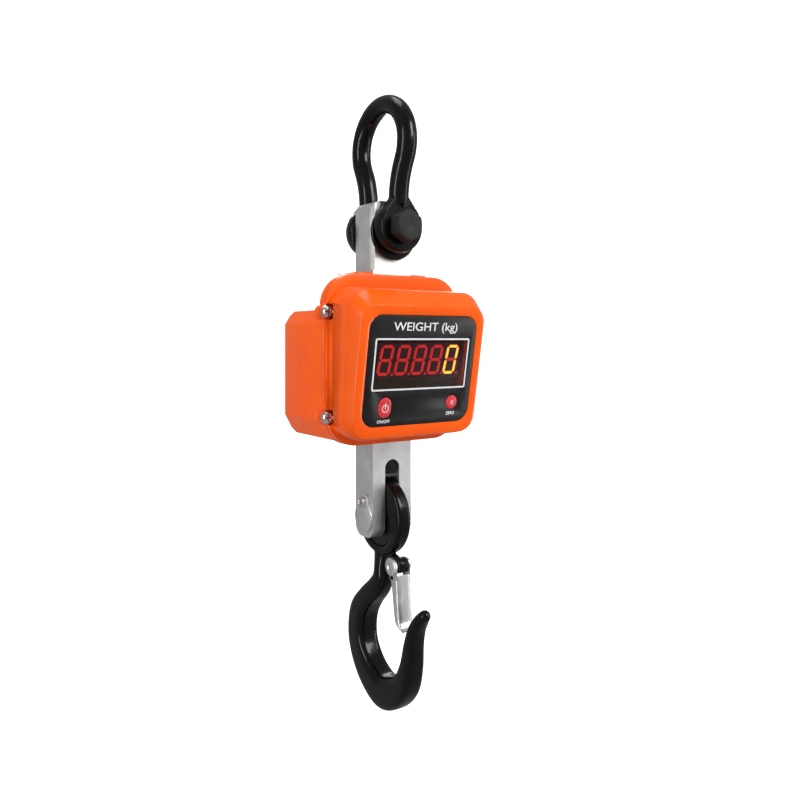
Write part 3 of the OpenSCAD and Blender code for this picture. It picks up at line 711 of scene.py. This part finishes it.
POWER_AT, ZERO_AT = (-40, -42.5), (42, -40.5)


def ring_plate(name, outer, inner, n0, n1, mat):
    """A flat frame on the face, between two outlines with as many points each."""
    rings = [[on_face(a, b, n) for a, b in pts]
             for pts, n in ((inner, n0), (outer, n0), (outer, n1), (inner, n1))]
    return new_object(name, *loft(rings, closed=True), mat)


def shifted(points, u, v):
    return [(a + u, b + v) for a, b in points]


def flat(name, outline, n0, n1, mat=None):
    return prism(name, outline, on_face, n0, n1, mat)


def make_panel():
    """The face's film, with holes for the window and the two keys."""
    film = flat("film", shifted(rounded(130, 109, 14, 12), 0, PANEL_V), -1.75, -0.25)
    for hole in (rounded(111.4, 47.9, 0.6, 3), shifted(rounded(15.4, 20.8, 7.65, 10), *POWER_AT),
                 shifted(rounded(14.8, 14.8, 7.3, 10), *ZERO_AT)):
        boolean(film, flat("cut", hole, -4, 3))
    return bevel(film, 0.25, 2, 40)


show(make_panel(), "scale_body", ["face_panel"], PANEL)
show(ring_plate("window_line", rounded(115, 51.5, 2.2, 6), rounded(111.6, 48.1, 0.8, 6), -0.26, -0.19,
                WHITE_INK), "scale_body")


def lettering(name, words, u, v, height, width, weight):
    """Plain generic wording laid on the film, a few hundredths of a millimetre thick."""
    curve = bpy.data.curves.new(name, "FONT")
    curve.body = words
    curve.align_x = "CENTER"
    curve.align_y = "CENTER"
    curve.offset = weight
    curve.extrude = 0.01
    obj = bpy.data.objects.new(name, curve)
    bpy.context.scene.collection.objects.link(obj)
    settled = bpy.data.meshes.new_from_object(obj)
    bpy.data.objects.remove(obj)
    xs = [p.co.x for p in settled.vertices]
    ys = [p.co.y for p in settled.vertices]
    cx, cy = (min(xs) + max(xs)) / 2, (min(ys) + max(ys)) / 2
    kx, ky = width / (max(xs) - min(xs)), height / (max(ys) - min(ys))
    for p in settled.vertices:
        p.co = Vector(on_face(u + (p.co.x - cx) * kx, v + (p.co.y - cy) * ky, -0.22 + 3 * p.co.z)) * MM
    settled.materials.append(WHITE_INK)
    out = bpy.data.objects.new(name, settled)
    bpy.context.scene.collection.objects.link(out)
    return out


show(lettering("wording", "WEIGHT (kg)", 1, 36, 11, 78, 0.008), "scale_body")
show(lettering("caption_left", "ON/OFF", POWER_AT[0], -56.2, 3.2, 15, 0.02), "scale_body")
show(lettering("caption_right", "ZERO", ZERO_AT[0], -52.0, 3.2, 11, 0.02), "scale_body")

lens = flat("lens", rounded(111, 47.5, 0.6, 3), -1.75, -0.4, LENS)
show(bevel(lens, 0.2, 2, 40), "scale_body", ["display_window"], LENS)

SLANT = tan(radians(8))
SEG_W, DIG_W, DIG_H = 2.9, 15.2, 30.0
DIGITS, PITCH, FIRST_U, DIGIT_V = 5, 20, -42, 3.6
SEG_N, SEG_THICK, CORE_N = -3.38, 0.12, -3.3


def segment(kind, u, v, n, mat, shrink=0.0):
    """One bar of a seven-segment digit, a to g; it is thinner and shorter by shrink on every side."""
    w, h, t = DIG_W / 2 - SEG_W / 2, DIG_H / 2 - SEG_W / 2, SEG_W / 2 - shrink
    gap = 0.45 + shrink
    ends = {"a": ((-w, h), (w, h)), "g": ((-w, 0), (w, 0)), "d": ((-w, -h), (w, -h)),
            "f": ((-w, 0), (-w, h)), "b": ((w, 0), (w, h)), "e": ((-w, -h), (-w, 0)),
            "c": ((w, -h), (w, 0))}[kind]
    (x0, y0), (x1, y1) = ends
    if y0 == y1:
        pts = [(x0 + gap, y0), (x0 + gap + t, y0 - t), (x1 - gap - t, y0 - t), (x1 - gap, y0),
               (x1 - gap - t, y0 + t), (x0 + gap + t, y0 + t)]
    else:
        pts = [(x0, y0 + gap), (x0 + t, y0 + gap + t), (x0 + t, y1 - gap - t), (x0, y1 - gap),
               (x0 - t, y1 - gap - t), (x0 - t, y0 + gap + t)]
    return flat("seg_" + kind, [(u + a + SLANT * b, v + b) for a, b in pts], n, n + SEG_THICK, mat)


# only the last digit is lit, and it shows a 0
modules, unlit, lit, core = [], [], [], []
for i in range(DIGITS):
    u, v = FIRST_U + PITCH * i, DIGIT_V
    outline = shifted(rounded(19.6, 34.5, 0.6, 2), u, v)
    modules.append(bevel(flat("module", outline, -15.3, -3.4), 0.3, 1, 40))
    shown = "abcdef" if i == DIGITS - 1 else ""
    for kind in "abcdefg":
        if kind in shown:
            lit.append(segment(kind, u, v, SEG_N, LIT))
            core.append(segment(kind, u, v, CORE_N, LIT_CORE, 0.75))
        else:
            unlit.append(segment(kind, u, v, SEG_N, UNLIT_PAINTED_GLOW))
    unlit.append(flat("dot", circle(u + 9.0, v - 14, 1.3, 16), SEG_N, SEG_N + SEG_THICK, UNLIT_PAINTED_GLOW))
show(join("digit_blocks", modules), "scale_body", ["digit_modules"], MODULE)
# the unlit segments and dots carry the painted red glow; only the lit segments and their cores are real light
show(join("dark_segments_painted_glow", unlit), "scale_body")
show(join("bright_segments", lit), "scale_body")
show(join("bright_cores", core), "scale_body")


def make_key(name, w, h, r, u, v):
    """A soft key: a domed cap with a rounded edge over a wider foot."""
    # (how far the outline grows, height)
    rings = []
    for grow, n in ((1.4, -5.1), (1.4, -4.0), (0, -4.0), (0, 0.1), (-0.25, 0.5), (-0.8, 0.75), (-2.0, 0.95),
                    (-4.5, 1.1), (-6.6, 1.14)):
        corner = max(0.3, r + grow)
        least = 2 * corner + 0.02
        outline = rounded(max(w + 2 * grow, least), max(h + 2 * grow, least), corner, 10)
        rings.append([on_face(u + a, v + b, n) for a, b in outline])
    return new_object(name, *loft(rings), RED_KEY, 25)


def mark(name, u, v, shape):
    """A white printed sign on a key; shape is a list of (outline, inner outline or None)."""
    n0, n1 = 1.13, 1.19
    out = []
    for outer, inner in shape:
        pts = shifted(outer, u, v)
        if inner:
            out.append(ring_plate(name, pts, shifted(inner, u, v), n0, n1, WHITE_INK))
        else:
            out.append(flat(name, pts, n0, n1, WHITE_INK))
    return join(name, out) if len(out) > 1 else out[0]


show(make_key("power_pad_cap", 14.6, 20, 7.25, *POWER_AT), "power_pad", ["power_key"], RED_KEY)
show(make_key("zero_pad_cap", 14, 14, 7, *ZERO_AT), "zero_pad", ["zero_key"], RED_KEY)
stroke = [(-0.4, -0.5), (0.4, -0.5), (0.4, 5.4), (-0.4, 5.4)]
power_sign = [(arc(0, 0, 3.9, 0, 360, 32)[:-1], arc(0, 0, 3.2, 0, 360, 32)[:-1]), (stroke, None)]
show(mark("power_sign", -40, -43, power_sign), "power_pad")
oval = [(1.5 * cos(t), 2.3 * sin(t)) for t in turns(28)]
oval_in = [(0.9 * cos(t), 1.7 * sin(t)) for t in turns(28)]
show(mark("zero_sign", *ZERO_AT, [(oval, oval_in)]), "zero_pad")


# ---------------------------------------------------------------- hook and latch

# (y, z, half width along X, half depth, corner: 1 is round, lower is squarer), shank to tip
STATIONS = [(0, -458, 7.4, 13, 0.9), (0, -468, 9, 10.6, 1), (0, -480, 10, 10, 1), (1, -491, 10.5, 10.8, 0.85),
            (8, -502, 11.5, 11.2, 0.65), (23, -516, 12.8, 11.6, 0.55), (36, -532, 13.5, 13.2, 0.52),
            (41, -550, 13.5, 14, 0.52), (39.5, -569, 13.5, 14.5, 0.52), (29.3, -587.4, 13.5, 15.6, 0.52),
            (13.4, -601.2, 13.5, 16.7, 0.52), (-6, -608.4, 13.5, 17.4, 0.52), (-25.3, -602.6, 13, 16.2, 0.52),
            (-42, -589, 12.3, 12.8, 0.55), (-51, -568, 11.5, 9.6, 0.6), (-55, -545, 10.5, 7.8, 0.7),
            (-60, -528, 9.5, 7.2, 0.8), (-67, -517, 8.2, 6.8, 0.9), (-73, -510.5, 6.2, 6, 1)]
EYE_HOLE_R, EYE_HOLE_Z = 23, -432.7
EYE_R, EYE_Z = 41, -424
RIVET = (-30, -470.5)


def blend(a, b, c, d, t):
    """A Catmull-Rom curve's point between b and c."""
    out = []
    for p, q, r, s in zip(a, b, c, d):
        bend = (2 * p - 5 * q + 4 * r - s) * t * t
        out.append(0.5 * (2 * q + (r - p) * t + bend + (3 * q - p - 3 * r + s) * t ** 3))
    return tuple(out)


def spline(points, steps):
    n = len(points) - 1

    def get(i):
        return points[max(0, min(n, i))]

    return [blend(get(k - 1), get(k), get(k + 1), get(k + 2), j / steps)
            for k in range(n) for j in range(steps)] + [points[-1]]


def make_hook():
    """A squarish section swept along the stations, with a flat round eye on top and a lug for the rivet."""
    def swell(x, k):
        return copysign(abs(x) ** k, x)

    path = spline(STATIONS, 6)
    rings = []
    for i, (y, z, a, b, k) in enumerate(path):
        p, q = path[max(0, i - 1)], path[min(len(path) - 1, i + 1)]
        length = hypot(q[0] - p[0], q[1] - p[1])
        hy, hz = (q[0] - p[0]) / length, (q[1] - p[1]) / length
        ring = []
        for t in turns(64):
            d = b * swell(sin(t), k)
            ring.append((a * swell(cos(t), k), y - hz * d, z + hy * d))
        rings.append(ring)
    parts = [new_object("shank", *loft(rings))]
    tip_y, tip_z, tip_r = STATIONS[-1][:3]
    half_round = [(tip_r * sin(radians(a)), tip_r * cos(radians(a))) for a in range(0, 181, 12)]
    parts.append(lathe("tip", half_round, lambda a, b, h: (a, tip_y + b, tip_z + h), 24))
    # the eye's hole sits lower than its rim, so its wall is thicker above than below
    eye = []
    for t in turns(96):
        d, ring = (cos(t), sin(t)), []
        inner = (EYE_HOLE_R * d[0], EYE_HOLE_Z + EYE_HOLE_R * d[1])
        outer = (EYE_R * d[0], EYE_Z + EYE_R * d[1])
        thick = hypot(outer[0] - inner[0], outer[1] - inner[1])
        for a, b in rounded(thick, 16, 4.2, 5):
            k = a / thick + 0.5
            ring.append((b, inner[0] + (outer[0] - inner[0]) * k, inner[1] + (outer[1] - inner[1]) * k))
        eye.append(ring)
    parts.append(new_object("eye", *loft(eye, closed=True)))
    lug = [(-30, -462.5), (-4, -460), (-4, -480.5), (-30, -478.5)]
    parts.append(prism("lug", lug, side, -3.5, 3.5))
    parts.append(rod(8, 3.5, along_x(0, *RIVET), 40))
    hook = fuse(join("hook_forging", parts), 0.8, 4)
    return boolean(hook, rod(3.55, 9, along_x(0, *RIVET), 32))


show(make_hook(), "hook_body", ["hook"], GLOSS_BLACK)


def make_packing():
    """The dark nylon filling under the pin, a disc with the pin's path cut out of it."""
    disc = lathe("packing", [(0, -5.9), (22.4, -5.9), (22.9, -5.4), (22.9, 5.4), (22.4, 5.9), (0, 5.9)],
                 along_x(z0=EYE_HOLE_Z), 72)
    return boolean(disc, rod(10.3, 9, along_x(z0=HOOK_PIN_Z), 48))


show(make_packing(), "hook_body", ["eye_packing"], NYLON)


def make_rivet():
    """A wide worked head at -X and a small one at +X."""
    profile = [(0, -12.3), (2.2, -11.9), (3.2, -11.8), (4.4, -12.5), (7.4, -12.4), (9.1, -11.5), (9.5, -10.4),
               (9.3, -9.4), (3.5, -9.4), (3.5, 9.4), (6.3, 9.4), (6.5, 9.8), (5.8, 10.8), (0, 11.3)]
    return lathe("rivet", profile, along_x(0, *RIVET), 48)


show(make_rivet(), "hook_body", ["latch_pin"], BRIGHT)


def make_spring():
    """Three turns of wire over a sleeve, on either side of the hook's lug."""
    coil_r, per_turn, count = 7.4, 32, 96
    sleeve = [(3.65, 3.8), (6.7, 3.8), (6.7, 7.1), (3.65, 7.1), (3.65, 3.8)]
    y, z = RIVET
    coils = []
    for s in (-1, 1):
        path = [(s * (4.35 + 2.3 * k / count), y + coil_r * cos(2 * pi * k / per_turn),
                 z + coil_r * sin(2 * pi * k / per_turn)) for k in range(count + 1)]
        coils.append(tube("coil", path, 0.6, 10))
        coils.append(lathe("sleeve", sleeve, along_x(0, *RIVET, s), 40))
    return join("spring_coils", coils)


show(make_spring(), "hook_body", ["latch_spring"], DULL_BLACK)


def make_latch():
    """A folded steel strip: a web with two cheeks, ears round the rivet, a turned-in foot."""
    rows = []
    web = [(-36.9, -479), (-37.5, -486), (-38.3, -496), (-39.3, -508), (-40.3, -519), (-41.4, -526.5),
           (-44.6, -530.6), (-47.6, -532.9)]
    deep = [12.5, 9.5, 8.4, 7.6, 6.8, 5.6, 3.2, 1.4]
    half, r = 8.3, 1.6
    for (y, z), d in zip(spline(web, 3), [x[0] for x in spline([(d,) for d in deep], 3)]):
        ring = [(-half, y + d, z), (-half, y + d * 0.5, z), (-half, y + r, z)]
        ring += [(-half + r - r * cos(radians(a)), y + r - r * sin(radians(a)), z) for a in (30, 60, 90)]
        ring += [(x, y, z) for x in (-3.5, 0, 3.5)]
        ring += [(half - r + r * cos(radians(a)), y + r - r * sin(radians(a)), z) for a in (90, 60, 30)]
        ring += [(half, y + r, z), (half, y + d * 0.5, z), (half, y + d, z)]
        rows.append(ring)
    verts = [p for row in rows for p in row]
    n = len(rows[0])
    faces = [(i * n + j, i * n + j + 1, (i + 1) * n + j + 1, (i + 1) * n + j)
             for i in range(len(rows) - 1) for j in range(n - 1)]
    strip = new_object("strip", verts, faces)
    mod = strip.modifiers.new("sheet", "SOLIDIFY")
    mod.thickness = 1.3 * MM
    mod.offset = 0
    settle(strip)
    ears = []
    outline = arc(*RIVET, 7.4, -20, 200, 30) + [(-37.0, -484), (-25.5, -484)]
    for s in (-1, 1):
        ear = prism("ear", outline, side, *sorted((s * 7.62, s * 8.95)))
        ears.append(boolean(ear, rod(3.6, 9, along_x(0, *RIVET), 24)))
    return bevel(join("latch_strip", [strip] + ears), 0.3, 2, 40)


show(make_latch(), "latch_body", ["latch"], BRIGHT)


# ---------------------------------------------------------------- studio

def stage_plane(name, corners, mat):
    """Backdrop in metres; it is seen, but lights nothing and shows in no reflection."""
    mesh = bpy.data.meshes.new(name)
    mesh.from_pydata(corners, [], [(0, 1, 2, 3)])
    mesh.materials.append(mat)
    obj = bpy.data.objects.new(name, mesh)
    bpy.context.scene.collection.objects.link(obj)
    obj.visible_glossy = False
    obj.visible_diffuse = False


BACKDROP = material("backdrop", (0.9, 0.9, 0.9), 0.9, Emission_Color=(1, 1, 1, 1), Emission_Strength=1.0)
FLOOR_Z, SCREEN_TOP = -1.3, 5
stage_plane("floor", [(-9, -9, FLOOR_Z), (9, -9, FLOOR_Z), (9, 9, FLOOR_Z), (-9, 9, FLOOR_Z)], BACKDROP)
# the camera's level line of sight, and the direction across it
ahead, across = Vector((0.5747, 0.8184, 0)), Vector((0.8184, -0.5747, 0))
far = ahead * 3.4
corners = ((-1, FLOOR_Z), (1, FLOOR_Z), (1, SCREEN_TOP), (-1, SCREEN_TOP))
stage_plane("screen", [far + across * s * 7 + Vector((0, 0, z)) for s, z in corners], BACKDROP)


def area_light(name, place, target, size, power, size_y):
    """A white panel light aimed at the target, in metres and watts."""
    light = bpy.data.lights.new(name, "AREA")
    light.shape = "RECTANGLE"
    light.size = size
    light.size_y = size_y
    light.energy = power
    obj = bpy.data.objects.new(name, light)
    obj.location = place
    obj.rotation_euler = (Vector(target) - Vector(place)).to_track_quat("-Z", "Y").to_euler()
    bpy.context.scene.collection.objects.link(obj)


middle = (0, 0, -0.28)
area_light("key", (0.75, -1.55, 0.85), middle, 0.8, 32, 0.9)
area_light("left_strip", (-1.75, -0.3, -0.1), middle, 0.22, 20, 1.7)
area_light("right_strip", (1.35, -0.9, -0.2), middle, 0.14, 8, 1.6)
area_light("top", (-0.1, 0.25, 1.5), middle, 0.9, 9, 0.7)
area_light("back", (0.9, 1.5, 0.3), middle, 0.8, 12, 0.8)

world = bpy.data.worlds.new("studio")
bpy.context.scene.world = world
world.use_nodes = True
world.node_tree.nodes["Background"].inputs["Color"].default_value = (0.9, 0.9, 0.9, 1)
world.node_tree.nodes["Background"].inputs["Strength"].default_value = 0.4

bpy.context.scene.view_settings.view_transform = "Standard"

camera = bpy.data.cameras.new("camera")
camera.sensor_width = 36
camera.lens = 33.9
camera.shift_y = -0.0753
eye_point = bpy.data.objects.new("camera", camera)
eye_point.location = (-0.4461, -0.6663, -0.238)
eye_point.rotation_euler = ahead.to_track_quat("-Z", "Y").to_euler()
bpy.context.scene.collection.objects.link(eye_point)
bpy.context.scene.camera = eye_point
